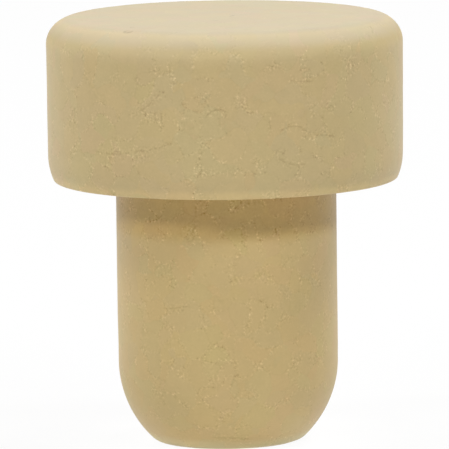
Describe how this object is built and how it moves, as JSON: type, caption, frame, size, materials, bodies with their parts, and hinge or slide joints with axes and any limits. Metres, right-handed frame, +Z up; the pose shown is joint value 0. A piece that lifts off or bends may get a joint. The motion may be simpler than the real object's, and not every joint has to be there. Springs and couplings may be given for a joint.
{
  "type": "cork stopper",
  "caption": "T-shaped cork stopper: a wide flat-topped round head on a cylindrical shank with a rounded nose.",
  "frame": {"origin": "centre of the flat foot at the end of the shank, where the stopper stands on a surface", "axes": "+Z up along the axis, from the foot of the shank to the top of the head; the part is round, so +X and +Y are free"},
  "size_m": [0.0316, 0.0316, 0.0377],
  "materials": {
    "cork": "matte"
  },
  "bodies": {
    "root": {"cork_stopper": "cork"}
  },
  "joints": []
}
